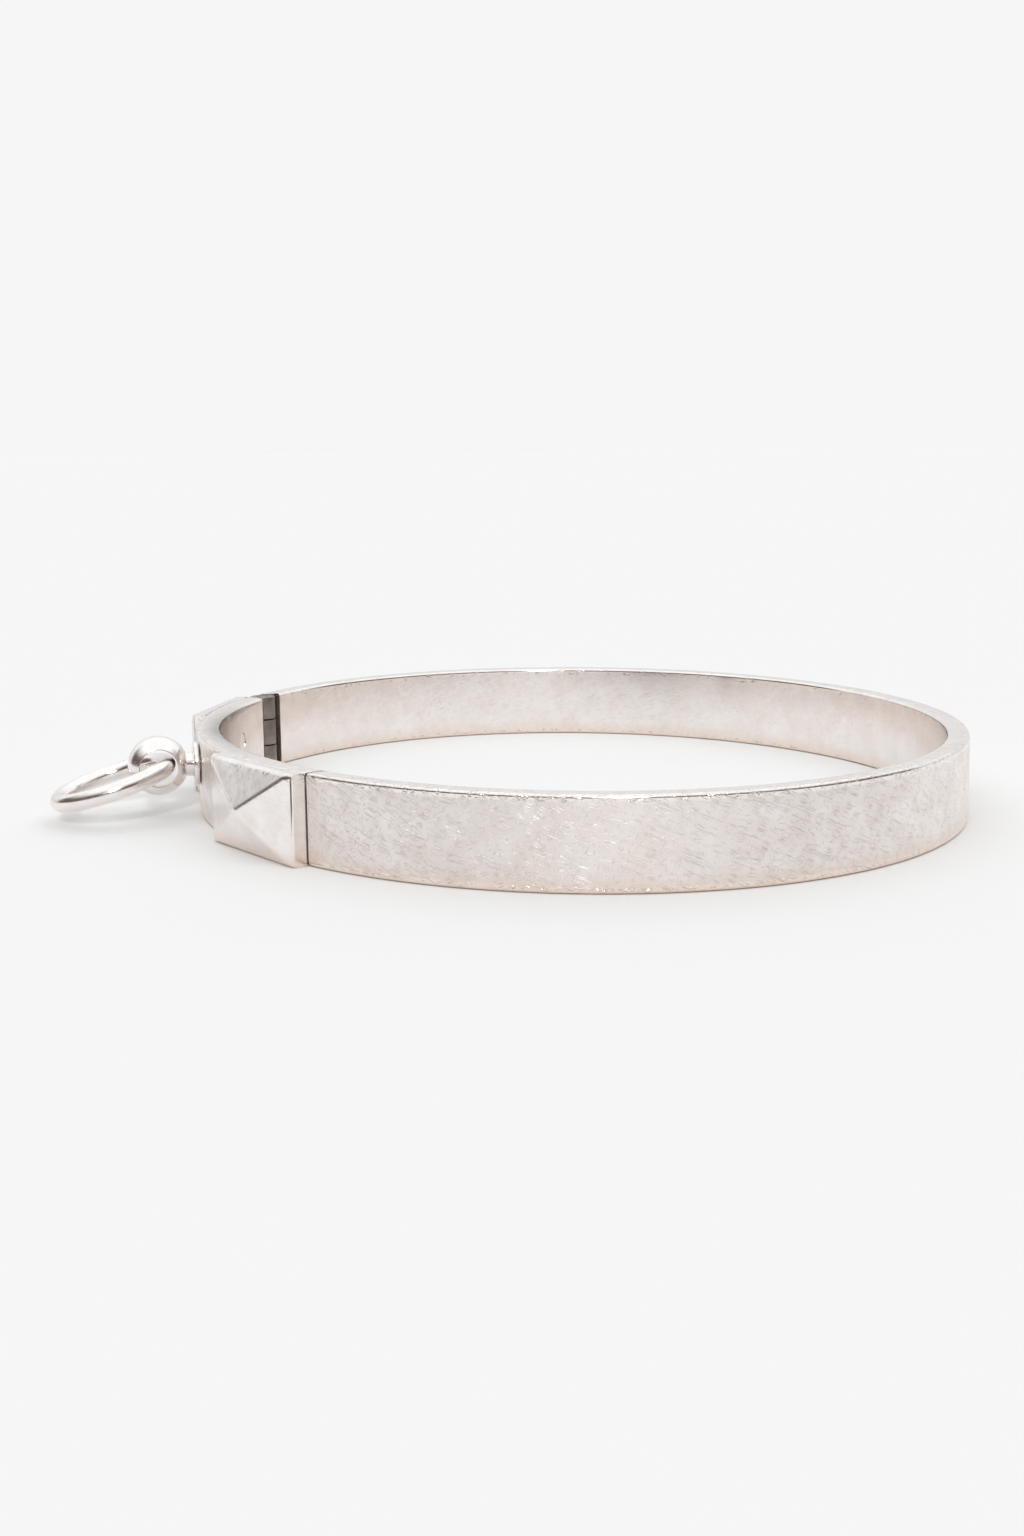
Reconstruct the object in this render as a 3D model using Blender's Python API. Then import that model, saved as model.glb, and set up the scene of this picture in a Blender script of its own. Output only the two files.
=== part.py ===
# Hinged oval bangle with a rigid front bar. The bar carries two pyramid studs and, between them,
# a drilled ball that holds a loose ring. One end of the bar turns on a pinned barrel hinge, and the
# other end snaps over a split tongue on the band.
#
# Frame: +Z up, the bangle lies on its lower rim, and the front bar faces -Y. The origin is the
# bottom centre of the whole object's box. An arc is a distance along the outer face, measured from
# the middle of the front bar and positive towards +X. An offset is measured outwards from that face.

import math

import bmesh
import bpy
import numpy as np
from mathutils import Matrix, Vector

MM = 0.001

# Band
BAND_LENGTH = 63.2 * MM
BAND_DEPTH = 52.6 * MM
BAND_HEIGHT = 5.6 * MM
BAND_THICKNESS = 1.5 * MM
EDGE_CHAMFER = 0.2 * MM

# Clearances. The whole wall is 1.5 mm, so fixed pieces sit closer than on a large object.
FIXED_GAP = 0.05 * MM
RUNNING_GAP = 0.1 * MM
SEAM_GAP = 0.2 * MM

# Front bar, between the hinge and the catch
CATCH_ARC = 19.45 * MM
HINGE_ARC = -20.1 * MM
HINGE_TO_STRIP = 1.05 * MM

# Pyramid studs
STUD_LENGTH = 10.0 * MM
STUD_PLINTH = 1.05 * MM
STUD_PEAK = 1.85 * MM
POST_RADIUS = 0.7 * MM

# Ball stud and ring
BALL_RADIUS = 2.0 * MM
BALL_OFFSET = 2.75 * MM
BALL_HEIGHT = 3.5 * MM
BALL_BORE_RADIUS = 1.25 * MM
NECK_RADIUS = 0.8 * MM
COLLAR_RADIUS = 1.5 * MM
COLLAR_LENGTH = 0.4 * MM
NECK_EMBED = 0.4 * MM
WIRE_RADIUS = 0.6 * MM
RING_RADIUS = 3.7 * MM
RING_DROP = 3.12 * MM
RING_SIDE_SHIFT = 0.5 * MM
RING_TILT = math.radians(17)

# Hinge
BARREL_RADIUS = 0.95 * MM
BARREL_OFFSET = -0.8 * MM
PIN_RADIUS = 0.4 * MM
PIN_CLEARANCE = 0.05 * MM
MIDDLE_KNUCKLE = 1.9 * MM
REBATE_DEPTH = 0.35 * MM
REBATE_REACH = 1.55 * MM
RIM_SETBACK = 0.05 * MM

# Catch tongue
TONGUE_TIP_ARC = 16.6 * MM
TONGUE_ROOT_ARC = 24.6 * MM
TONGUE_WIDTH = 3.2 * MM
TONGUE_THICKNESS = 0.5 * MM
TONGUE_SLIT = 0.7 * MM
RIVET_ARCS = {"front": 21.9 * MM, "back": 23.6 * MM}
RIVET_RADIUS = 0.35 * MM
RIVET_DEPTH = 0.45 * MM

# How far a cutter runs past the face that it cuts through
PAST = 1 * MM

# Worked out from the dimensions above
HALF_LENGTH = BAND_LENGTH / 2
HALF_DEPTH = BAND_DEPTH / 2
MID_HEIGHT = BAND_HEIGHT / 2
RING_REACH = (RING_DROP + RING_RADIUS) * math.cos(RING_TILT) + WIRE_RADIUS
FRONT_REACH = HALF_DEPTH + BALL_OFFSET + RING_REACH
OVAL_CENTRE = Vector((0, (FRONT_REACH - HALF_DEPTH) / 2, 0))
BAR_ENDS = {"catch": CATCH_ARC - SEAM_GAP / 2, "hinge": HINGE_ARC + HINGE_TO_STRIP}


def clear_scene():
    for obj in list(bpy.data.objects):
        bpy.data.objects.remove(obj, do_unlink=True)


def silver(name, colour, roughness):
    material = bpy.data.materials.new(name)
    material.use_nodes = True
    shader = material.node_tree.nodes["Principled BSDF"]
    shader.inputs["Base Color"].default_value = (*colour, 1)
    shader.inputs["Metallic"].default_value = 1
    shader.inputs["Roughness"].default_value = roughness
    material.diffuse_color = (*colour, 1)
    return material


# The oval

def oval_point(angle):
    """The outer face, an ellipse, at its parameter angle: 0 is the middle of the front."""
    return HALF_LENGTH * math.sin(angle), -HALF_DEPTH * math.cos(angle)


TABLE_ANGLES = np.linspace(-math.pi, math.pi, 4001)
TABLE_POINTS = np.array([oval_point(angle) for angle in TABLE_ANGLES])
TABLE_STEPS = np.hypot(*np.diff(TABLE_POINTS, axis=0).T)
TABLE_ARCS = np.concatenate([[0], np.cumsum(TABLE_STEPS)])
PERIMETER = TABLE_ARCS[-1]
TABLE_ARCS -= PERIMETER / 2


def oval_frame(arc):
    """Point on the outer face, direction of growing arc, and outward direction."""
    arc = (arc + PERIMETER / 2) % PERIMETER - PERIMETER / 2
    step = 0.05 * MM
    before, here, after = (
        Vector((*oval_point(np.interp(arc + shift, TABLE_ARCS, TABLE_ANGLES)), 0))
        for shift in (-step, 0, step)
    )
    along = (after - before).normalized()
    outward = Vector((along.y, -along.x, 0))
    return OVAL_CENTRE + here, along, outward


def place(arc, offset, height):
    point, _, outward = oval_frame(arc)
    return point + outward * offset + Vector((0, 0, height))


# Building blocks

def add_object(name, mesh, material=None, origin=Vector()):
    """Makes an object of a bmesh in world coordinates, with its origin at the given point."""
    bmesh.ops.recalc_face_normals(mesh, faces=mesh.faces)
    bmesh.ops.translate(mesh, verts=mesh.verts, vec=-origin)
    data = bpy.data.meshes.new(name)
    mesh.to_mesh(data)
    mesh.free()
    data.shade_smooth()
    data.set_sharp_from_angle(angle=math.radians(30))
    obj = bpy.data.objects.new(name, data)
    obj.location = origin
    bpy.context.scene.collection.objects.link(obj)
    if material:
        data.materials.append(material)
    else:
        obj.hide_render = True
        obj.display_type = "WIRE"
    return obj


def combine(target, other, operation):
    modifier = target.modifiers.new(f"{operation} {other.name}", "BOOLEAN")
    modifier.operation = operation
    modifier.solver = "EXACT"
    modifier.object = other


def rectangle(inner, outer, bottom, top, chamfer=0.0):
    """Section of a strip as (offset, height) points, with the same chamfer on each corner."""
    if not chamfer:
        return [(inner, bottom), (outer, bottom), (outer, top), (inner, top)]
    return [
        (inner + chamfer, bottom), (outer - chamfer, bottom),
        (outer, bottom + chamfer), (outer, top - chamfer),
        (outer - chamfer, top), (inner + chamfer, top),
        (inner, top - chamfer), (inner, bottom + chamfer),
    ]


def sweep(name, start, end, section, steps, material=None):
    """Carries a section along the oval from one arc to another and closes both ends."""
    mesh = bmesh.new()
    rings = []
    for arc in np.linspace(start, end, steps + 1):
        rings.append([mesh.verts.new(place(arc, offset, height)) for offset, height in section])
    count = len(section)
    for ring, following in zip(rings, rings[1:]):
        for i in range(count):
            j = (i + 1) % count
            mesh.faces.new((ring[i], ring[j], following[j], following[i]))
    mesh.faces.new(rings[0])
    mesh.faces.new(rings[-1])
    return add_object(name, mesh, material)


def cylinder(name, start, end, radius, segments=24, material=None, origin=Vector()):
    mesh = bmesh.new()
    span = end - start
    turn = span.to_track_quat("Z", "Y").to_matrix().to_4x4()
    bmesh.ops.create_cone(
        mesh, cap_ends=True, segments=segments, radius1=radius, radius2=radius,
        depth=span.length, matrix=Matrix.Translation((start + end) / 2) @ turn,
    )
    return add_object(name, mesh, material, origin)


def block(name, corner, sides):
    """A box from a corner and its three side vectors."""
    mesh = bmesh.new()
    bmesh.ops.create_cube(mesh, size=1)
    for vertex in mesh.verts:
        steps = [value + 0.5 for value in vertex.co]
        vertex.co = corner + sum((side * step for side, step in zip(sides, steps)), Vector())
    return add_object(name, mesh)


# The pieces

def make_band_and_bar(material):
    wall = rectangle(-BAND_THICKNESS, 0, 0, BAND_HEIGHT, EDGE_CHAMFER)
    band = sweep(
        "main_band", CATCH_ARC + SEAM_GAP / 2, PERIMETER + HINGE_ARC - HINGE_TO_STRIP,
        wall, 80, material,
    )
    bar = sweep("front_bar", BAR_ENDS["hinge"], BAR_ENDS["catch"], wall, 26, material)
    return band, bar


def make_pyramid_stud(name, bar, end, side, material):
    """A rectangular pyramid on a plinth, flush with one end of the bar. A post goes through it."""
    mesh = bmesh.new()
    middle = BAR_ENDS[end] - side * (FIXED_GAP + STUD_LENGTH / 2)
    ends = [middle - STUD_LENGTH / 2, middle + STUD_LENGTH / 2]
    steps = 8
    seats, edges = [], []
    for i, arc in enumerate(np.linspace(*ends, steps + 1)):
        share = i / steps
        for height in (0, BAND_HEIGHT):
            seats.append(mesh.verts.new(place(arc, FIXED_GAP, height)))
            corners = [place(edge, STUD_PLINTH, height) for edge in ends]
            edges.append(mesh.verts.new(corners[0].lerp(corners[1], share)))
    peak = mesh.verts.new(place(middle, STUD_PEAK, MID_HEIGHT))
    for i in range(0, 2 * steps, 2):
        low, high, next_low, next_high = i, i + 1, i + 2, i + 3
        mesh.faces.new((seats[low], seats[high], seats[next_high], seats[next_low]))
        mesh.faces.new((seats[low], edges[low], edges[next_low], seats[next_low]))
        mesh.faces.new((seats[high], edges[high], edges[next_high], seats[next_high]))
        mesh.faces.new((edges[low], edges[next_low], peak))
        mesh.faces.new((edges[high], edges[next_high], peak))
    for i in (0, 2 * steps):
        mesh.faces.new((seats[i], seats[i + 1], edges[i + 1], edges[i]))
        mesh.faces.new((edges[i], edges[i + 1], peak))
    stud = add_object(name, mesh, material)
    foot = place(middle, -BAND_THICKNESS + FIXED_GAP, MID_HEIGHT)
    post = cylinder(f"{name}_post", foot, place(middle, STUD_PLINTH / 2, MID_HEIGHT), POST_RADIUS)
    combine(stud, post, "UNION")
    drill(bar, f"{name}_hole", middle, MID_HEIGHT, POST_RADIUS + FIXED_GAP)
    return stud


def drill(target, name, arc, height, radius):
    """Drills straight through the wall."""
    start = place(arc, -BAND_THICKNESS - PAST, height)
    combine(target, cylinder(name, start, place(arc, PAST, height), radius), "DIFFERENCE")


def make_ball_stud(bar, material, collar_material):
    centre = place(0, BALL_OFFSET, BALL_HEIGHT)
    mesh = bmesh.new()
    bmesh.ops.create_uvsphere(
        mesh, u_segments=32, v_segments=18, radius=BALL_RADIUS,
        matrix=Matrix.Translation(centre) @ Matrix.Rotation(math.pi / 2, 4, "X"),
    )
    ball = add_object("ball_stud", mesh, material, centre)
    seat = place(0, FIXED_GAP, BALL_HEIGHT)
    into_ball = place(0, BALL_OFFSET - BALL_BORE_RADIUS - NECK_EMBED, BALL_HEIGHT)
    foot = place(0, -BAND_THICKNESS + FIXED_GAP, BALL_HEIGHT)
    combine(ball, cylinder("ball_neck", seat, into_ball, NECK_RADIUS), "UNION")
    shank_top = place(0, FIXED_GAP + COLLAR_LENGTH / 2, BALL_HEIGHT)
    combine(ball, cylinder("ball_shank", foot, shank_top, POST_RADIUS), "UNION")
    reach = Vector((2 * BALL_RADIUS, 0, 0))
    bore = cylinder("ball_bore", centre - reach, centre + reach, BALL_BORE_RADIUS, 32)
    combine(ball, bore, "DIFFERENCE")
    drill(bar, "ball_shank_hole", 0, BALL_HEIGHT, POST_RADIUS + FIXED_GAP)

    face = place(0, FIXED_GAP + COLLAR_LENGTH, BALL_HEIGHT)
    collar = cylinder("ball_collar", seat, face, COLLAR_RADIUS, 32, collar_material)
    drill(collar, "collar_hole", 0, BALL_HEIGHT, NECK_RADIUS + FIXED_GAP)


def make_drop_ring(material):
    """A closed ring through the ball, leaning out and a little down. It turns about the bore."""
    mesh = bmesh.new()
    centre = Vector((RING_SIDE_SHIFT, -RING_DROP, 0))
    start = Matrix.Translation(centre + Vector((RING_RADIUS, 0, 0)))
    wire = bmesh.ops.create_circle(
        mesh, segments=14, radius=WIRE_RADIUS, matrix=start @ Matrix.Rotation(math.pi / 2, 4, "X"),
    )
    edges = list({edge for vertex in wire["verts"] for edge in vertex.link_edges})
    bmesh.ops.spin(
        mesh, geom=wire["verts"] + edges, cent=centre, axis=(0, 0, 1), angle=2 * math.pi,
        steps=56, use_merge=True,
    )
    ring = add_object("drop_ring", mesh, material)
    ring.location = place(0, BALL_OFFSET, BALL_HEIGHT)
    ring.rotation_euler.x = RING_TILT


def make_knuckle(name, bottom, top, strip_side, material):
    """One tube of the hinge with its leaf, which meets the end of its strip."""
    point, along, outward = oval_frame(HINGE_ARC)
    axis = point + outward * BARREL_OFFSET
    low, high = axis + Vector((0, 0, bottom)), axis + Vector((0, 0, top))
    knuckle = cylinder(name, low, high, BARREL_RADIUS, 28, material, low)
    leaf_thickness = BAND_THICKNESS - REBATE_DEPTH
    corner = point - outward * leaf_thickness + Vector((0, 0, bottom))
    reach = along * strip_side * (HINGE_TO_STRIP - FIXED_GAP)
    leaf = block(f"{name}_leaf", corner, (reach, outward * leaf_thickness, high - low))
    combine(knuckle, leaf, "UNION")
    past = Vector((0, 0, PAST))
    bore = cylinder(f"{name}_bore", low - past, high + past, PIN_RADIUS + PIN_CLEARANCE, 20)
    combine(knuckle, bore, "DIFFERENCE")


def make_hinge(band, bar, knuckle_material, pin_material):
    """Three knuckles on a pin. Both strips are rebated beside them on the inner face."""
    rebate = sweep(
        "hinge_rebate", HINGE_ARC - REBATE_REACH, HINGE_ARC + REBATE_REACH,
        rectangle(-BAND_THICKNESS - PAST, -BAND_THICKNESS + REBATE_DEPTH, -PAST, BAND_HEIGHT + PAST),
        4,
    )
    combine(band, rebate, "DIFFERENCE")
    combine(bar, rebate, "DIFFERENCE")
    middle_low = MID_HEIGHT - MIDDLE_KNUCKLE / 2
    middle_high = MID_HEIGHT + MIDDLE_KNUCKLE / 2
    rim_low, rim_high = RIM_SETBACK, BAND_HEIGHT - RIM_SETBACK
    make_knuckle("hinge_knuckle_lower", rim_low, middle_low - RUNNING_GAP, -1, knuckle_material)
    make_knuckle("hinge_knuckle_upper", middle_high + RUNNING_GAP, rim_high, -1, knuckle_material)
    make_knuckle("hinge_knuckle_bar", middle_low, middle_high, 1, knuckle_material)
    foot = place(HINGE_ARC, BARREL_OFFSET, RIM_SETBACK)
    cylinder(
        "hinge_pin", foot, place(HINGE_ARC, BARREL_OFFSET, rim_high), PIN_RADIUS, 20,
        pin_material, foot,
    )


def make_catch(band, bar, material, rivet_material):
    """A split leaf let into the band's inner face. The bar's end closes over its two prongs."""
    inner = -BAND_THICKNESS + FIXED_GAP
    outer = inner + TONGUE_THICKNESS
    low, high = MID_HEIGHT - TONGUE_WIDTH / 2, MID_HEIGHT + TONGUE_WIDTH / 2
    tongue = sweep(
        "catch_tongue", TONGUE_TIP_ARC, TONGUE_ROOT_ARC, rectangle(inner, outer, low, high), 10,
        material,
    )
    slit = sweep(
        "tongue_slit", TONGUE_TIP_ARC - PAST, CATCH_ARC,
        rectangle(
            inner - PAST, outer + PAST,
            MID_HEIGHT - TONGUE_SLIT / 2, MID_HEIGHT + TONGUE_SLIT / 2,
        ), 6,
    )
    combine(tongue, slit, "DIFFERENCE")
    recess = sweep(
        "tongue_recess", TONGUE_TIP_ARC - 2 * RUNNING_GAP, TONGUE_ROOT_ARC + FIXED_GAP,
        rectangle(
            -BAND_THICKNESS - PAST, outer + RUNNING_GAP, low - RUNNING_GAP, high + RUNNING_GAP,
        ), 12,
    )
    combine(band, recess, "DIFFERENCE")
    combine(bar, recess, "DIFFERENCE")

    for name, arc in RIVET_ARCS.items():
        start = place(arc, inner - PAST, MID_HEIGHT)
        end = place(arc, outer + RIVET_DEPTH + FIXED_GAP, MID_HEIGHT)
        hole = cylinder(f"rivet_hole_{name}", start, end, RIVET_RADIUS + FIXED_GAP, 16)
        combine(band, hole, "DIFFERENCE")
        combine(tongue, hole, "DIFFERENCE")
        cylinder(
            f"tongue_rivet_{name}", place(arc, inner, MID_HEIGHT),
            place(arc, outer + RIVET_DEPTH, MID_HEIGHT), RIVET_RADIUS, 16, rivet_material,
        )


def main():
    clear_scene()
    band_silver = silver("silver_band", (0.78, 0.74, 0.72), 0.34)
    bright_silver = silver("silver_bright", (0.86, 0.83, 0.80), 0.2)
    spring_silver = silver("silver_spring", (0.62, 0.60, 0.59), 0.3)
    band, bar = make_band_and_bar(band_silver)
    make_pyramid_stud("pyramid_stud_catch_side", bar, "catch", 1, bright_silver)
    make_pyramid_stud("pyramid_stud_hinge_side", bar, "hinge", -1, bright_silver)
    make_ball_stud(bar, bright_silver, band_silver)
    make_drop_ring(bright_silver)
    make_hinge(band, bar, band_silver, spring_silver)
    make_catch(band, bar, spring_silver, spring_silver)


main()
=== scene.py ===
# A worn silver bangle: an oval band, a hinged front bar with two pyramid studs, and a drilled ball
# that holds a loose ring. Each strip is modelled flat and then bent round the oval, as a maker
# works it. On a flat strip x is the way round from the middle of the bar, y is how far out of the
# outer face a point stands, and z is up. Sizes in the dictionaries are millimetres.

import math

import bmesh
import bpy
import numpy as np
from mathutils import Matrix, Vector


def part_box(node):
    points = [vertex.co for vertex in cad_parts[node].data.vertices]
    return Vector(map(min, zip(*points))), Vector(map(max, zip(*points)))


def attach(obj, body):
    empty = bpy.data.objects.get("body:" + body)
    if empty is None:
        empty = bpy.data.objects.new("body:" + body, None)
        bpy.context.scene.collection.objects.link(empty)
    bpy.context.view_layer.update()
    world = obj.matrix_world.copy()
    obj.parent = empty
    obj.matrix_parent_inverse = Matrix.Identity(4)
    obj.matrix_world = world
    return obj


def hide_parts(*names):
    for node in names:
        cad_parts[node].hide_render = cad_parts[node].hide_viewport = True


mm = 0.001
past = 1 * mm  # how far a cutter runs beyond the face it cuts through
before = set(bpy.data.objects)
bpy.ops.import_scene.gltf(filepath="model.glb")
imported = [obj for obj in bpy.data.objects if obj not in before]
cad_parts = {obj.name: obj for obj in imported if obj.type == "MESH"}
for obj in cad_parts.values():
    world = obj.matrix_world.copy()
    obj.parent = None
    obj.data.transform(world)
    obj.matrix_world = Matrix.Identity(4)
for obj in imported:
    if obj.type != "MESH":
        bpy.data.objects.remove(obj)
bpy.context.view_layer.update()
print("loaded", len(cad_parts), "nodes")


def hexColour(text):
    def toLinear(value):
        return value / 12.92 if value <= 0.04045 else ((value + 0.055) / 1.055) ** 2.4
    return tuple(toLinear(int(text[i:i + 2], 16) / 255) for i in (1, 3, 5)) + (1.0,)


def addNode(tree, kind, settings=None, **links):
    # links are socket values or output sockets, named by the input's identifier or index
    made = tree.nodes.new(kind)
    for key, value in (settings or {}).items():
        setattr(made, key, value)
    for key, value in links.items():
        socket = int(key[1:]) if key[0] == "i" and key[1:].isdigit() else key.replace("_", " ")
        target = made.inputs[socket]
        if isinstance(value, bpy.types.NodeSocket):
            tree.links.new(value, target)
        else:
            target.default_value = value
    return made


ovalValues = {
    "depth": 52.6,
    "wall": 1.5,
    "rimRound": 0.22,
    "endRound": 0.05,
    "bendStep": 0.6,
}

bandLow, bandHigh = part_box("main_band")
halfLength = (bandHigh.x - bandLow.x) / 2
halfDepth = ovalValues["depth"] * mm / 2
height = bandHigh.z - bandLow.z
ovalCentre = Vector(((bandHigh.x + bandLow.x) / 2, bandHigh.y - halfDepth, 0))
wall = ovalValues["wall"] * mm


def ovalPoint(angle):
    return halfLength * math.sin(angle), -halfDepth * math.cos(angle)


ovalAngles = np.linspace(-math.pi, math.pi, 7201)
ovalPoints = np.array([ovalPoint(angle) for angle in ovalAngles])
ovalArcs = np.concatenate([[0], np.cumsum(np.hypot(*np.diff(ovalPoints, axis=0).T))])
perimeter = ovalArcs[-1]
ovalArcs -= perimeter / 2


def ovalFrame(arc):
    arc = (arc + perimeter / 2) % perimeter - perimeter / 2
    step = 0.05 * mm
    before, here, after = (
        Vector((*ovalPoint(np.interp(arc + shift, ovalArcs, ovalAngles)), 0))
        for shift in (-step, 0, step)
    )
    along = (after - before).normalized()
    return ovalCentre + here, along, Vector((along.y, -along.x, 0))


def place(arc, out, up):
    point, _, outward = ovalFrame(arc)
    return point + outward * out + Vector((0, 0, up))


def localMatrix(along, outward, point):
    # x runs along the strip, y out of it and z up, all from the point
    return Matrix((
        (along.x, outward.x, 0, point.x), (along.y, outward.y, 0, point.y),
        (0, 0, 1, 0), (0, 0, 0, 1),
    ))


def boxMesh(low, high):
    bm = bmesh.new()
    bmesh.ops.create_cube(bm, size=1)
    low, high = Vector(low), Vector(high)
    bmesh.ops.scale(bm, vec=high - low, verts=bm.verts)
    bmesh.ops.translate(bm, vec=(low + high) / 2, verts=bm.verts)
    return bm


def rodMesh(start, end, radius, segments=48):
    bm = bmesh.new()
    span = end - start
    turn = span.to_track_quat("Z", "Y").to_matrix().to_4x4()
    bmesh.ops.create_cone(
        bm, cap_ends=True, segments=segments, radius1=radius, radius2=radius,
        depth=span.length, matrix=Matrix.Translation((start + end) / 2) @ turn,
    )
    return bm


def roundEdges(bm, edges, width, segments=3):
    bmesh.ops.bevel(
        bm, geom=edges, offset=width, offset_type="OFFSET", segments=segments, profile=0.5,
        affect="EDGES", material=-1, clamp_overlap=True,
    )


def edgesAlong(bm, axis, test=None):
    chosen = []
    for edge in bm.edges:
        run = (edge.verts[1].co - edge.verts[0].co).normalized()
        middle = (edge.verts[1].co + edge.verts[0].co) / 2
        if abs(run[axis]) > 0.99 and (test is None or test(middle)):
            chosen.append(edge)
    return chosen


def capEdges(bm):
    # the rims of a rod, where its many-sided caps meet the wall
    return [edge for edge in bm.edges if any(len(face.verts) > 4 for face in edge.link_faces)]


def asObject(bm, name):
    bmesh.ops.recalc_face_normals(bm, faces=bm.faces)
    mesh = bpy.data.meshes.new(name)
    bm.to_mesh(mesh)
    bm.free()
    made = bpy.data.objects.new(name, mesh)
    bpy.context.scene.collection.objects.link(made)
    return made


def combine(bm, others, operation="DIFFERENCE"):
    # runs Booleans on throwaway objects and hands back one mesh
    target = asObject(bm, "work")
    tools = [asObject(other, "tool") for other in others]
    for tool in tools:
        modifier = target.modifiers.new("cut", "BOOLEAN")
        modifier.operation = operation
        modifier.solver = "EXACT"
        modifier.object = tool
    evaluated = target.evaluated_get(bpy.context.evaluated_depsgraph_get())
    result = bmesh.new()
    result.from_mesh(evaluated.to_mesh())
    evaluated.to_mesh_clear()
    for scrap in [target] + tools:
        bpy.data.objects.remove(scrap)
    bmesh.ops.remove_doubles(result, verts=result.verts, dist=0.0005 * mm)
    return result


def unrollUv(bm):
    # the pattern's coordinates, in millimetres, laid on the strip while it is still flat
    uv = bm.loops.layers.uv.new("flat")
    for face in bm.faces:
        normal = face.normal
        if abs(normal.z) > 0.75:
            pick = (0, 1)
        elif abs(normal.x) > 0.75:
            pick = (1, 2)
        else:
            pick = (0, 2)
        for loop in face.loops:
            co = loop.vert.co
            loop[uv].uv = (co[pick[0]] / mm, co[pick[1]] / mm)


stripValues = {
    "catchArc": 19.45,
    "hingeArc": -20.1,
    "hingeToStrip": 1.05,
    "rebateReach": 1.55,
    "rebateDepth": 0.35,
    "seamGap": 0.2,
    "postHole": 0.75,
}
catchArc = stripValues["catchArc"] * mm
hingeArc = stripValues["hingeArc"] * mm
hingeToStrip = stripValues["hingeToStrip"] * mm
seamGap = stripValues["seamGap"] * mm
# the bar ends at the catch, side 1, and at the hinge, side -1
barEnds = {1: catchArc - seamGap / 2, -1: hingeArc + hingeToStrip}


# painted shade on the inner faces: darkest at this arc, fading out over this reach
paintedShadeValues = {
    "arc": -1.0,
    "reach": 15.0,
    "depth": 1.0,
}


def bend(bm):
    xs = [vert.co.x for vert in bm.verts]
    steps = int((max(xs) - min(xs)) / (ovalValues["bendStep"] * mm))
    for i in range(1, steps):
        x = min(xs) + (max(xs) - min(xs)) * i / steps
        bmesh.ops.bisect_plane(
            bm, geom=bm.verts[:] + bm.edges[:] + bm.faces[:], plane_co=(x, 0, 0),
            plane_no=(1, 0, 0), dist=0.0001 * mm,
        )
    bm.normal_update()
    unrollUv(bm)
    # painted shade, stored per vertex: a grey darkening on the inner faces about the middle of the
    # bar
    paintedShade = bm.verts.layers.float.new("paintedShade")
    inner = bm.verts.layers.float.new("inside")
    for vert in bm.verts:
        vert[inner] = 1.0 if vert.co.y < -wall * 0.7 else 0.0
        near = max(0, 1 - abs(vert.co.x / mm - paintedShadeValues["arc"]) / paintedShadeValues["reach"])
        vert[paintedShade] = vert[inner] * paintedShadeValues["depth"] * near
        # painted shadow: the rebates beside the hinge are darkened all over
        toHinge = abs(math.remainder(vert.co.x - hingeArc, perimeter))
        raised = vert.co.y > -wall * 0.9
        if vert[inner] and raised and toHinge < (stripValues["rebateReach"] + 0.01) * mm:
            vert[paintedShade] = 1.0
        vert.co = place(*vert.co)


sharpAngle = math.radians(32)


def finishPiece(bm, name, body, nodes, material):
    bmesh.ops.recalc_face_normals(bm, faces=bm.faces)
    if bm.loops.layers.uv.active is None:
        unrollUv(bm)
    mesh = bpy.data.meshes.new(name)
    bm.to_mesh(mesh)
    bm.free()
    mesh.shade_smooth()
    mesh.set_sharp_from_angle(angle=sharpAngle)
    piece = bpy.data.objects.new(name, mesh)
    bpy.context.scene.collection.objects.link(piece)
    mesh.materials.append(material)
    even = piece.modifiers.new("even normals", "WEIGHTED_NORMAL")
    even.keep_sharp = True
    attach(piece, body)
    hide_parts(*nodes)
    print("made", name, len(mesh.polygons), "faces")


def scratchLayer(tree, vector, angle, length, width, kept, seed):
    # short dashes: one long thin cell each, most of them left out. Real handling scratches are a
    # few hundredths of a millimetre or finer, so these are drawn at the coarse end to show at all.
    turned = addNode(
        tree, "ShaderNodeMapping", Vector=vector, Location=(seed * 7.3, seed * 3.1, 0),
        Rotation=(0, 0, math.radians(angle)),
    )
    stretched = addNode(
        tree, "ShaderNodeVectorMath", {"operation": "MULTIPLY"}, i0=turned.outputs[0],
        i1=(1 / length, 1 / width, 1),
    )
    cells = addNode(
        tree, "ShaderNodeTexVoronoi", {"voronoi_dimensions": "2D", "feature": "F1"},
        Vector=stretched.outputs[0], Scale=1.0, Randomness=1.0,
    )
    dash = addNode(
        tree, "ShaderNodeMapRange", {"interpolation_type": "SMOOTHSTEP"},
        Value=cells.outputs["Distance"], i1=0.12, i2=0.45, i3=1.0, i4=0.0,
    )
    chance = addNode(tree, "ShaderNodeSeparateColor", Color=cells.outputs["Color"])
    keep = addNode(
        tree, "ShaderNodeMath", {"operation": "LESS_THAN"}, i0=chance.outputs[0], i1=kept,
    )
    return addNode(
        tree, "ShaderNodeMath", {"operation": "MULTIPLY"}, i0=dash.outputs[0], i1=keep.outputs[0],
    ).outputs[0]


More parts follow.
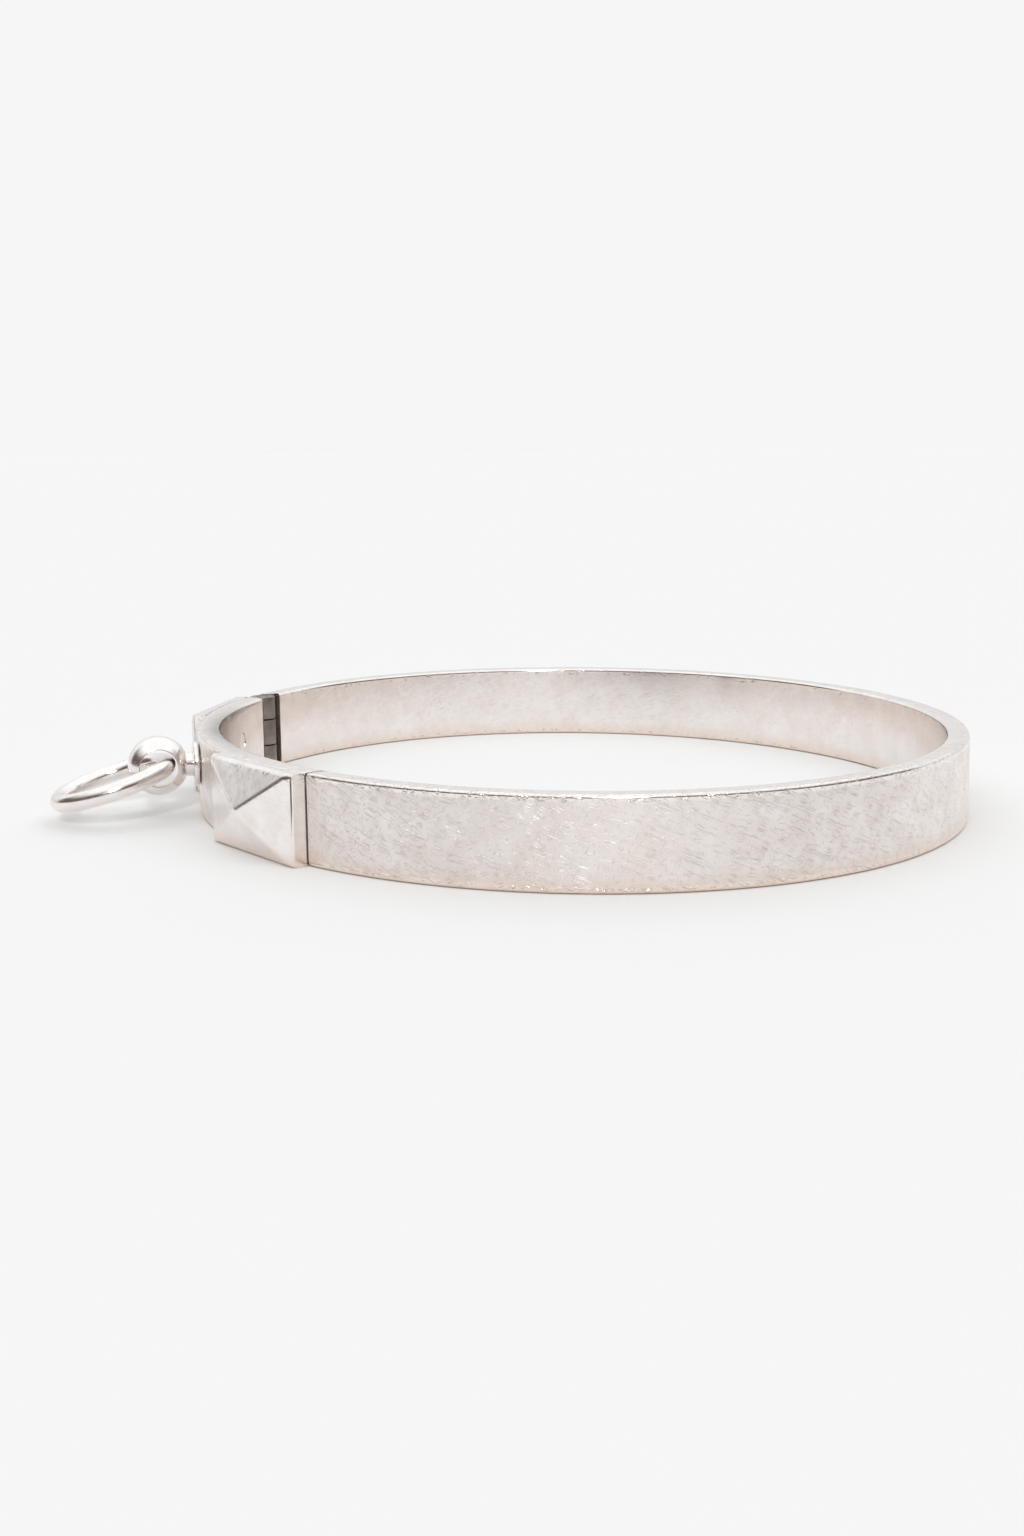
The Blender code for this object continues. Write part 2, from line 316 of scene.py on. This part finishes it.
wearValues = {
    # angle in degrees, length and width in millimetres, and the share of the dashes that is kept
    "scratches": [
        (-18, 0.6, 0.04, 0.09), (-63, 0.45, 0.04, 0.07), (32, 0.8, 0.04, 0.13),
        (96, 0.4, 0.04, 0.07), (12, 1.2, 0.045, 0.09), (24, 2.6, 0.045, 0.05),
    ],
    "insideSpared": 0.8,
    "scratchTarnish": "#B3A69E",
    "scratchDepthOfColour": 0.42,
    "scratchRoughness": 0.12,
    "lowGold": "#F2DCCB",
    "lowGoldShare": 0.55,
    # the colour of the painted shade on the inner faces and in the hinge rebates
    "paintedShadeColour": "#8A7E78",
    "cloudScale": 0.6,
    "grainScale": 3.2,
    "grainRelief": 0.25,
    "nickScale": 2.4,
    "nickRelief": -4.0,
    "rubbedFrom": 0.5,
    "rubbedTo": 0.3,
    "bumpStrength": 0.8,
}

silverValues = {
    # satin finish, handled until it is soft and cloudy: broad, gentle highlights
    "wornSatin": {
        "light": "#F9F4F1", "warm": "#F2E9E4", "roughness": 0.33, "wander": 0.08,
        "scratch": 1.0, "bump": 0.006, "rim": 0.13, "inside": 0.2,
    },
    # once mirror bright: sharp highlights broken by light scratches
    "wornPolish": {
        "light": "#F9F5F3", "warm": "#F2EBE7", "roughness": 0.14, "wander": 0.08,
        "scratch": 0.25, "bump": 0.006, "rim": 0.13, "inside": 0.14,
    },
    # tarnish that is never rubbed clean, darkened further as painted shade in the hinge: grey brown
    # and dull, with hardly a highlight
    "tarnishedAndShaded": {
        "light": "#9C918A", "warm": "#7C706A", "roughness": 0.42, "wander": 0.12,
        "scratch": 0.5, "bump": 0.012, "rim": 0.35, "inside": 0.4,
    },
}


def silverMaterial(name, values):
    # sterling silver: a warm white metal that goes soft and cloudy with handling and takes fine
    # scratches in every direction
    wear = wearValues
    material = bpy.data.materials.new(name)
    material.use_nodes = True
    tree = material.node_tree
    shader = tree.nodes["Principled BSDF"]
    coords = addNode(tree, "ShaderNodeTexCoord")
    flat = coords.outputs["UV"]
    solid = addNode(
        tree, "ShaderNodeVectorMath", {"operation": "SCALE"}, i0=coords.outputs["Object"],
        Scale=1000.0,
    ).outputs[0]

    layers = [
        scratchLayer(tree, flat, *scratch, seed)
        for seed, scratch in enumerate(wear["scratches"], 1)
    ]
    total = layers[0]
    for layer in layers[1:]:
        total = addNode(
            tree, "ShaderNodeMath", {"operation": "MAXIMUM"}, i0=total, i1=layer,
        ).outputs[0]
    # the inner faces never meet a table or a cuff, so they keep more of their polish
    inside = addNode(tree, "ShaderNodeAttribute", {"attribute_name": "inside"}).outputs["Fac"]
    marked = addNode(
        tree, "ShaderNodeMath", {"operation": "MULTIPLY_ADD"}, i0=inside,
        i1=-wear["insideSpared"], i2=1.0,
    ).outputs[0]
    total = addNode(
        tree, "ShaderNodeMath", {"operation": "MULTIPLY"}, i0=total, i1=marked,
    ).outputs[0]
    clouds = addNode(
        tree, "ShaderNodeTexNoise", Vector=solid, Scale=wear["cloudScale"], Detail=6.0,
        Roughness=0.6,
    )
    grain = addNode(
        tree, "ShaderNodeTexNoise", Vector=solid, Scale=wear["grainScale"], Detail=4.0,
        Roughness=0.6,
    )
    cloudy = addNode(
        tree, "ShaderNodeMapRange", Value=clouds.outputs[0], i1=0.35, i2=0.68, i3=0.0, i4=1.0,
    ).outputs[0]
    colour = addNode(
        tree, "ShaderNodeMix", {"data_type": "RGBA"}, Factor=cloudy,
        i6=hexColour(values["light"]), i7=hexColour(values["warm"]),
    ).outputs[2]
    # fine dark lines, where the scratches hold a little tarnish
    darker = addNode(
        tree, "ShaderNodeMath", {"operation": "MULTIPLY"}, i0=total,
        i1=wear["scratchDepthOfColour"] * values["scratch"],
    ).outputs[0]
    colour = addNode(
        tree, "ShaderNodeMix", {"data_type": "RGBA"}, Factor=darker, i6=colour,
        i7=hexColour(wear["scratchTarnish"]),
    ).outputs[2]
    # a faint gold tint, strongest at the very bottom and gone about a millimetre up
    parts = addNode(tree, "ShaderNodeSeparateXYZ", Vector=solid)
    low = addNode(
        tree, "ShaderNodeMapRange", Value=parts.outputs["Z"], i1=1.1, i2=0.1, i3=0.0,
        i4=wear["lowGoldShare"],
    ).outputs[0]
    colour = addNode(
        tree, "ShaderNodeMix", {"data_type": "RGBA"}, Factor=low, i6=colour,
        i7=hexColour(wear["lowGold"]),
    ).outputs[2]
    # painted shade: a grey brown colour laid over the inner faces about the middle of the bar and
    # over the hinge rebates
    paintedShade = addNode(tree, "ShaderNodeAttribute", {"attribute_name": "paintedShade"})
    colour = addNode(
        tree, "ShaderNodeMix", {"data_type": "RGBA"}, Factor=paintedShade.outputs["Fac"], i6=colour,
        i7=hexColour(wear["paintedShadeColour"]),
    ).outputs[2]
    tree.links.new(colour, shader.inputs["Base Color"])

    rough = addNode(
        tree, "ShaderNodeMath", {"operation": "MULTIPLY_ADD"}, i0=cloudy, i1=values["wander"],
        i2=values["roughness"],
    ).outputs[0]
    rough = addNode(
        tree, "ShaderNodeMix", {"data_type": "FLOAT"}, Factor=inside, i2=rough,
        i3=values["inside"],
    ).outputs[0]
    # the rims and their edges are rubbed bright
    half = height / mm / 2
    fromMiddle = addNode(
        tree, "ShaderNodeMath", {"operation": "SUBTRACT"}, i0=parts.outputs["Z"], i1=half,
    ).outputs[0]
    fromMiddle = addNode(
        tree, "ShaderNodeMath", {"operation": "ABSOLUTE"}, i0=fromMiddle,
    ).outputs[0]
    rubbed = addNode(
        tree, "ShaderNodeMapRange", Value=fromMiddle, i1=half - wear["rubbedFrom"],
        i2=half - wear["rubbedTo"], i3=0.0, i4=1.0,
    ).outputs[0]
    rough = addNode(
        tree, "ShaderNodeMix", {"data_type": "FLOAT"}, Factor=rubbed, i2=rough, i3=values["rim"],
    ).outputs[0]
    rough = addNode(
        tree, "ShaderNodeMath", {"operation": "MULTIPLY_ADD"}, i0=total,
        i1=wear["scratchRoughness"] * values["scratch"], i2=rough,
    ).outputs[0]
    tree.links.new(rough, shader.inputs["Roughness"])
    shader.inputs["Metallic"].default_value = 1.0

    relief = addNode(
        tree, "ShaderNodeMath", {"operation": "MULTIPLY"}, i0=total, i1=-values["scratch"],
    ).outputs[0]
    relief = addNode(
        tree, "ShaderNodeMath", {"operation": "MULTIPLY_ADD"}, i0=grain.outputs[0],
        i1=wear["grainRelief"], i2=relief,
    ).outputs[0]
    # nicks along the rims
    dents = addNode(
        tree, "ShaderNodeTexNoise", Vector=solid, Scale=wear["nickScale"], Detail=3.0,
        Roughness=0.7,
    )
    dents = addNode(
        tree, "ShaderNodeMapRange", Value=dents.outputs[0], i1=0.56, i2=0.72, i3=0.0,
        i4=wear["nickRelief"],
    ).outputs[0]
    dents = addNode(
        tree, "ShaderNodeMath", {"operation": "MULTIPLY"}, i0=dents, i1=rubbed,
    ).outputs[0]
    relief = addNode(
        tree, "ShaderNodeMath", {"operation": "ADD"}, i0=relief, i1=dents,
    ).outputs[0]
    bump = addNode(
        tree, "ShaderNodeBump", Strength=wear["bumpStrength"], Distance=values["bump"] * mm,
        Height=relief,
    )
    tree.links.new(bump.outputs[0], shader.inputs["Normal"])
    return material


wornSatinSilver = silverMaterial("wornSatinSilver", silverValues["wornSatin"])
wornPolishedSilver = silverMaterial("wornPolishedSilver", silverValues["wornPolish"])
# tarnish together with painted shade, for the hinge, its pin, the catch tongue and its rivets
tarnishedAndShadedSilver = silverMaterial("tarnishedAndShadedSilver", silverValues["tarnishedAndShaded"])


def flatStrip(start, end):
    bm = boxMesh((start, -wall, 0), (end, 0, height))
    roundEdges(bm, edgesAlong(bm, 0), ovalValues["rimRound"] * mm, 4)
    ends = [edge for edge in bm.edges if abs(edge.verts[0].co.x - edge.verts[1].co.x) < 1e-7]
    roundEdges(bm, ends, ovalValues["endRound"] * mm, 2)
    return bm


tongueValues = {
    "tipArc": 16.6,
    "rootArc": 24.6,
    "width": 3.2,
    "thickness": 0.5,
    "slit": 0.7,
    "play": 0.1,
    "seat": 0.05,
    "rivetArcs": (21.9, 23.6),
    "rivetRadius": 0.35,
    "rivetDepth": 0.45,
    "rivetRound": 0.08,
    "edgeRound": 0.06,
}


def tongueRecess():
    t = tongueValues
    half = (t["width"] / 2 + t["play"]) * mm
    floor = -wall + (t["seat"] + t["thickness"] + t["play"]) * mm
    return boxMesh(
        ((t["tipArc"] - 2 * t["play"]) * mm, -wall - past, height / 2 - half),
        ((t["rootArc"] + t["seat"]) * mm, floor, height / 2 + half),
    )


def hingeRebate(arc):
    reach = stripValues["rebateReach"] * mm
    return boxMesh(
        (arc - reach, -wall - past, -past),
        (arc + reach, -wall + stripValues["rebateDepth"] * mm, height + past),
    )


def makeBand():
    bm = flatStrip(catchArc + seamGap / 2, perimeter + hingeArc - hingeToStrip)
    bm = combine(bm, [tongueRecess(), hingeRebate(perimeter + hingeArc)])
    bend(bm)
    finishPiece(bm, "ovalBand", "band", ["main_band"], wornSatinSilver)


def makeFrontBar():
    bm = flatStrip(barEnds[-1], barEnds[1])
    tools = [tongueRecess(), hingeRebate(hingeArc)]
    holes = [(0, ballValues["height"] * mm), (studArc(1), height / 2), (studArc(-1), height / 2)]
    for arc, up in holes:
        tools.append(rodMesh(
            Vector((arc, -wall - past, up)), Vector((arc, past, up)),
            stripValues["postHole"] * mm, 40,
        ))
    bm = combine(bm, tools)
    bend(bm)
    finishPiece(bm, "frontBar", "bar", ["front_bar"], wornSatinSilver)


studValues = {
    "length": 10.0,
    "plinth": 1.05,
    "peak": 1.85,
    "arrisRound": 0.25,
    "postRadius": 0.7,
    "seat": 0.01,
    "endGap": 0.05,
    "depth": 1.6,
    "seatCuts": 11,
}


def studArc(side):
    return barEnds[side] - side * (studValues["length"] / 2 + studValues["endGap"]) * mm


def makeStud(name, node, side):
    s = studValues
    middle = studArc(side)
    ends = [place(middle + end * s["length"] / 2 * mm, s["plinth"] * mm, 0) for end in (-1, 1)]
    along = (ends[1] - ends[0]).normalized()
    outward = Vector((along.y, -along.x, 0))
    centre = (ends[0] + ends[1]) / 2
    length = (ends[1] - ends[0]).length
    rise = (place(middle, s["peak"] * mm, 0) - centre).dot(outward)
    depth = s["depth"] * mm

    bm = boxMesh((-length / 2, -depth, 0), (length / 2, 0, height))
    top = max(bm.faces, key=lambda face: face.calc_center_median().y)
    bmesh.ops.poke(bm, faces=[top], offset=rise)
    arrises = [
        edge for edge in bm.edges if min(vert.co.y for vert in edge.verts) > -depth * 0.5
    ]
    roundEdges(bm, arrises, s["arrisRound"] * mm, 4)
    local = localMatrix(along, outward, centre)
    # the seat is cut into short lengths and laid against the curve of the bar
    seatEdges = edgesAlong(bm, 0, lambda middle: middle.y < -depth * 0.9)
    bmesh.ops.subdivide_edges(bm, edges=seatEdges, cuts=s["seatCuts"])
    back = local.inverted()
    for vert in bm.verts:
        if vert.co.y > -depth * 0.9:
            continue
        vert.co = back @ place(middle + vert.co.x, s["seat"] * mm, vert.co.z)
    bm.transform(local)
    foot = place(middle, -wall + s["endGap"] * mm, height / 2)
    post = rodMesh(foot, place(middle, s["plinth"] / 2 * mm, height / 2), s["postRadius"] * mm)
    bm = combine(bm, [post], "UNION")
    finishPiece(bm, name, "bar", [node], wornPolishedSilver)


ballValues = {
    "radius": 2.0,
    "out": 2.75,
    "height": 3.5,
    "bore": 1.25,
    "boreRound": 0.16,
    "neck": 0.8,
    "collar": 1.5,
    "neckEmbed": 0.4,
    "shank": 0.7,
    "collarLength": 0.4,
    "collarRound": 0.15,
    "collarFit": 0.04,
    "seat": 0.05,
}


def makeBall():
    b = ballValues
    centre = place(0, b["out"] * mm, b["height"] * mm)
    bm = bmesh.new()
    bmesh.ops.create_uvsphere(
        bm, u_segments=96, v_segments=48, radius=b["radius"] * mm,
        matrix=Matrix.Rotation(math.pi / 2, 4, "Y"),
    )
    reach = math.sqrt(b["radius"] ** 2 - b["bore"] ** 2) * mm
    for side in (-1, 1):
        bmesh.ops.bisect_plane(
            bm, geom=bm.verts[:] + bm.edges[:] + bm.faces[:], plane_co=(side * reach, 0, 0),
            plane_no=(side, 0, 0), clear_outer=True,
        )
    rims = [edge for edge in bm.edges if edge.is_boundary]
    bmesh.ops.bridge_loops(bm, edges=rims)
    roundEdges(bm, rims, b["boreRound"] * mm, 4)
    bmesh.ops.translate(bm, vec=centre, verts=bm.verts)
    neck = rodMesh(
        place(0, b["seat"] * mm, b["height"] * mm),
        place(0, (b["out"] - b["bore"] - b["neckEmbed"]) * mm, b["height"] * mm), b["neck"] * mm,
    )
    shank = rodMesh(
        place(0, -wall + b["seat"] * mm, b["height"] * mm),
        place(0, (b["seat"] + b["collarLength"] / 2) * mm, b["height"] * mm),
        b["shank"] * mm,
    )
    bm = combine(bm, [neck, shank], "UNION")
    finishPiece(bm, "drilledBall", "bar", ["ball_stud"], wornPolishedSilver)


def makeCollar():
    b = ballValues
    up = b["height"] * mm
    low, high = b["seat"] * mm, (b["seat"] + b["collarLength"]) * mm
    bm = rodMesh(place(0, low, up), place(0, high, up), b["collar"] * mm, 72)
    roundEdges(bm, capEdges(bm), b["collarRound"] * mm, 4)
    hole = rodMesh(place(0, -wall, up), place(0, 2 * past, up), (b["neck"] + b["collarFit"]) * mm)
    bm = combine(bm, [hole])
    finishPiece(bm, "ballCollar", "bar", ["ball_collar"], wornPolishedSilver)


ringValues = {
    "wire": 0.6,
    "radius": 3.7,
    "drop": 3.12,
    "sideShift": 0.5,
    "tilt": 17,
}


def makeRing():
    r, b = ringValues, ballValues
    centre = Vector((r["sideShift"], -r["drop"], 0)) * mm
    bm = bmesh.new()
    start = Matrix.Translation(centre + Vector((r["radius"] * mm, 0, 0)))
    wire = bmesh.ops.create_circle(
        bm, segments=36, radius=r["wire"] * mm, matrix=start @ Matrix.Rotation(math.pi / 2, 4, "X"),
    )["verts"]
    edges = list({edge for vert in wire for edge in vert.link_edges})
    bmesh.ops.spin(
        bm, geom=wire + edges, cent=centre, axis=(0, 0, 1), angle=2 * math.pi, steps=144,
        use_merge=True,
    )
    middle = place(0, b["out"] * mm, b["height"] * mm)
    bm.transform(Matrix.Translation(middle) @ Matrix.Rotation(math.radians(r["tilt"]), 4, "X"))
    finishPiece(bm, "looseRing", "ring", ["drop_ring"], wornPolishedSilver)


hingeValues = {
    "barrel": 0.95,
    "out": -0.8,
    "pin": 0.4,
    "bore": 0.45,
    "middle": 1.9,
    "play": 0.1,
    "setback": 0.05,
    "leafRecess": 0.35,
    "outerStep": 0.15,
    "fixedGap": 0.05,
    "knuckleRound": 0.06,
    "pinRound": 0.1,
}


def makeKnuckle(name, node, body, low, high, side):
    h = hingeValues
    point, along, outward = ovalFrame(hingeArc)
    axis = point + outward * h["out"] * mm
    bottom, top = axis + Vector((0, 0, low)), axis + Vector((0, 0, high))
    bm = rodMesh(bottom, top, h["barrel"] * mm, 64)
    roundEdges(bm, capEdges(bm), h["knuckleRound"] * mm, 3)
    reach = side * (hingeToStrip - h["fixedGap"] * mm)
    leaf = boxMesh(
        (min(0, reach), -wall + h["leafRecess"] * mm, low),
        (max(0, reach), -h["outerStep"] * mm, high),
    )
    leaf.transform(localMatrix(along, outward, point))
    beyond = Vector((0, 0, past))
    bm = combine(bm, [leaf], "UNION")
    bm = combine(bm, [rodMesh(bottom - beyond, top + beyond, h["bore"] * mm)])
    # the knuckles are coloured dark: tarnish together with painted shade in the hinge
    finishPiece(bm, name, body, [node], tarnishedAndShadedSilver)


def makeHinge():
    h = hingeValues
    low = height / 2 - h["middle"] / 2 * mm
    high = height / 2 + h["middle"] / 2 * mm
    bottom, top = h["setback"] * mm, height - h["setback"] * mm
    play = h["play"] * mm
    makeKnuckle("lowerKnuckle", "hinge_knuckle_lower", "band", bottom, low - play, -1)
    makeKnuckle("upperKnuckle", "hinge_knuckle_upper", "band", high + play, top, -1)
    makeKnuckle("barKnuckle", "hinge_knuckle_bar", "bar", low, high, 1)
    bm = rodMesh(
        place(hingeArc, h["out"] * mm, bottom), place(hingeArc, h["out"] * mm, top), h["pin"] * mm,
    )
    roundEdges(bm, capEdges(bm), h["pinRound"] * mm, 4)
    finishPiece(bm, "hingePin", "band", ["hinge_pin"], tarnishedAndShadedSilver)


def makeTongue():
    t = tongueValues
    inner = -wall + t["seat"] * mm
    outer = inner + t["thickness"] * mm
    low, high = height / 2 - t["width"] / 2 * mm, height / 2 + t["width"] / 2 * mm
    bm = boxMesh((t["tipArc"] * mm, inner, low), (t["rootArc"] * mm, outer, high))
    roundEdges(bm, bm.edges[:], t["edgeRound"] * mm, 2)
    slit = boxMesh(
        (t["tipArc"] * mm - past, inner - past, height / 2 - t["slit"] / 2 * mm),
        (catchArc, outer + past, height / 2 + t["slit"] / 2 * mm),
    )
    holes = [
        rodMesh(Vector((arc * mm, -2 * wall, height / 2)), Vector((arc * mm, past, height / 2)),
                (t["rivetRadius"] + t["seat"]) * mm)
        for arc in t["rivetArcs"]
    ]
    bm = combine(bm, [slit] + holes)
    bend(bm)
    finishPiece(bm, "catchTongue", "band", ["catch_tongue"], tarnishedAndShadedSilver)
    for label, arc in zip(("front", "back"), t["rivetArcs"]):
        bm = rodMesh(
            place(arc * mm, inner, height / 2),
            place(arc * mm, outer + t["rivetDepth"] * mm, height / 2), t["rivetRadius"] * mm,
        )
        roundEdges(bm, capEdges(bm), t["rivetRound"] * mm, 3)
        finishPiece(bm, "tongueRivet_" + label, "band", ["tongue_rivet_" + label],
                    tarnishedAndShadedSilver)


studioValues = {
    "backdrop": "#F6F6F6",
    "paper": "#F4F4F4",
    "floorHalf": 40.0,
    "floorDrop": 0.02,
    "lens": 44.71,
    "distance": 135.7,
    "azimuth": 75.5,
    "elevation": 9.11,
    "roll": -0.45,
    "shiftX": -0.0416,
    "shiftY": -0.0083,
    "skyStrength": 1.16,
    "clothFrom": 0.32,
    "clothTo": 0.48,
    "keyLift": 27,
    "keySide": 0.05,
    "keyDistance": 0.5,
    "keyAngle": 6,
    "keyPower": 1.04,
}


# what the metal mirrors, as degrees above the horizon and colour: white cloth behind the bangle and
# overhead, and a dim warm room on the viewer's side
skyStops = {
    "cloth": [
        (0, (0.64, 0.64, 0.64)), (14, (0.75, 0.75, 0.75)), (40, (0.95, 0.965, 0.97)),
        (90, (0.93, 0.95, 0.955)),
    ],
    "room": [
        (0, (0.10, 0.075, 0.065)), (24, (0.13, 0.105, 0.095)), (38, (0.62, 0.61, 0.60)),
        (50, (0.98, 0.99, 0.99)), (90, (0.93, 0.95, 0.955)),
    ],
}


def makeFloor():
    bm = bmesh.new()
    bmesh.ops.create_grid(bm, x_segments=1, y_segments=1, size=studioValues["floorHalf"])
    mesh = bpy.data.meshes.new("paleFloor")
    bm.to_mesh(mesh)
    bm.free()
    floor = bpy.data.objects.new("paleFloor", mesh)
    bpy.context.scene.collection.objects.link(floor)
    floor.location.z = -studioValues["floorDrop"] * mm
    paper = bpy.data.materials.new("mattPaper")
    paper.use_nodes = True
    shader = paper.node_tree.nodes["Principled BSDF"]
    shader.inputs["Base Color"].default_value = hexColour(studioValues["paper"])
    shader.inputs["Roughness"].default_value = 0.9
    shader.inputs["Specular IOR Level"].default_value = 0.0
    mesh.materials.append(paper)


def makeWorld(away):
    world = bpy.data.worlds.new("softStudio")
    bpy.context.scene.world = world
    world.use_nodes = True
    tree = world.node_tree
    tree.nodes.clear()
    coords = addNode(tree, "ShaderNodeTexCoord")
    parts = addNode(tree, "ShaderNodeSeparateXYZ", Vector=coords.outputs["Generated"])
    skies = {}
    for name, wanted in skyStops.items():
        ramp = addNode(tree, "ShaderNodeValToRGB", Fac=parts.outputs["Z"])
        stops = ramp.color_ramp.elements
        for _ in wanted[2:]:
            stops.new(0.5)
        for stop, (degrees, colour) in zip(stops, wanted):
            stop.position = math.sin(math.radians(degrees))
            stop.color = (*colour, 1)
        skies[name] = ramp.outputs["Color"]
    beyond = addNode(
        tree, "ShaderNodeVectorMath", {"operation": "DOT_PRODUCT"}, i0=coords.outputs["Generated"],
        i1=Vector((-away.x, -away.y, 0)).normalized(),
    )
    cloth = addNode(
        tree, "ShaderNodeMapRange", {"interpolation_type": "SMOOTHSTEP"},
        Value=beyond.outputs["Value"], i1=studioValues["clothFrom"], i2=studioValues["clothTo"],
    )
    sky = addNode(
        tree, "ShaderNodeMix", {"data_type": "RGBA"}, Factor=cloth.outputs[0], i6=skies["room"],
        i7=skies["cloth"],
    )
    path = addNode(tree, "ShaderNodeLightPath")
    brighter = addNode(
        tree, "ShaderNodeVectorMath", {"operation": "SCALE"}, i0=sky.outputs[2],
        Scale=studioValues["skyStrength"],
    )
    lit = addNode(
        tree, "ShaderNodeMix", {"data_type": "RGBA"}, Factor=path.outputs["Is Camera Ray"],
        i6=brighter.outputs[0], i7=hexColour(studioValues["backdrop"]),
    )
    background = addNode(
        tree, "ShaderNodeBackground", Color=lit.outputs[2], Strength=1.0,
    )
    addNode(tree, "ShaderNodeOutputWorld", Surface=background.outputs[0])


def aimed(obj, target):
    obj.rotation_euler = (target - obj.location).to_track_quat("-Z", "Y").to_euler()


def makeCamera():
    v = studioValues
    target = ovalCentre + Vector((0, 0, height / 2))
    turn, tilt = math.radians(v["azimuth"]), math.radians(v["elevation"])
    flat = Vector((math.sin(turn), -math.cos(turn), 0))
    away = flat * math.cos(tilt) + Vector((0, 0, math.sin(tilt)))
    data = bpy.data.cameras.new("camera")
    camera = bpy.data.objects.new("camera", data)
    bpy.context.scene.collection.objects.link(camera)
    camera.location = target + away * v["distance"] * mm
    aimed(camera, target)
    camera.rotation_euler.rotate_axis("Z", math.radians(v["roll"]))
    data.sensor_width = 36
    data.lens = v["lens"]
    data.shift_x = v["shiftX"]
    data.shift_y = v["shiftY"]
    data.clip_start = 0.001
    bpy.context.scene.camera = camera
    return away


def makeLights(away):
    v = studioValues
    side = Vector((-away.y, away.x, 0)).normalized()
    flat = Vector((away.x, away.y, 0)).normalized()
    lift = math.radians(v["keyLift"])
    toward = flat * math.cos(lift) + Vector((0, 0, math.sin(lift))) + side * v["keySide"]
    light = bpy.data.lights.new("keyLight", "SUN")
    light.angle = math.radians(v["keyAngle"])
    light.energy = v["keyPower"]
    key = bpy.data.objects.new("keyLight", light)
    bpy.context.scene.collection.objects.link(key)
    key.location = ovalCentre + toward * v["keyDistance"]
    aimed(key, ovalCentre)


makeBand()
makeFrontBar()
makeStud("catchSideStud", "pyramid_stud_catch_side", 1)
makeStud("hingeSideStud", "pyramid_stud_hinge_side", -1)
makeBall()
makeCollar()
makeRing()
makeHinge()
makeTongue()
print("pieces done")

makeFloor()
away = makeCamera()
makeWorld(away)
makeLights(away)
bpy.context.scene.view_settings.view_transform = "Standard"
print("studio done")
